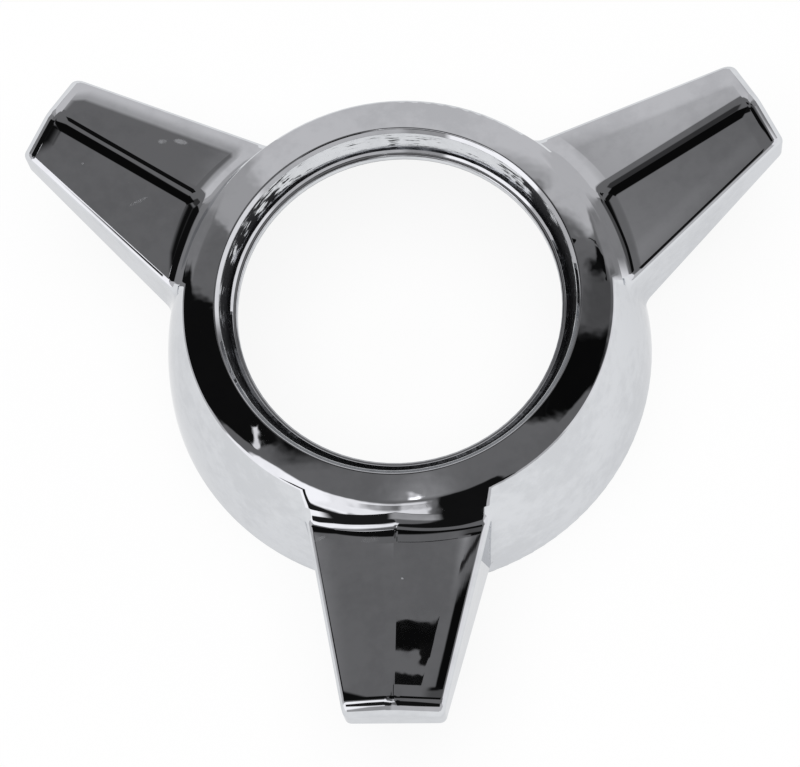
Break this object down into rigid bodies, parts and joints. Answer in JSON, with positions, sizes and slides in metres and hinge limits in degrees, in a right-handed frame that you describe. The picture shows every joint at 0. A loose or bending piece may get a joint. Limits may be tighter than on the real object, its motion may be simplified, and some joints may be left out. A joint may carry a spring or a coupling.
{
  "type": "wire wheel spinner",
  "caption": "Chrome-plated cast spinner for a wire wheel: hollow bell-shaped hub with an open medallion seat in its front ring and tapered, ridged bars reaching outwards.",
  "frame": {"origin": "on the bore's axis, in the plane of the hub's back rim", "axes": "+Z along the bore axis towards the front ring, -Y along one of the bars, +X to the right seen from the front with that bar pointing down"},
  "size_m": [0.1388, 0.1208, 0.0309],
  "materials": {
    "chrome_plate": "polished"
  },
  "bodies": {
    "root": {"spinner": "chrome_plate"}
  },
  "joints": []
}
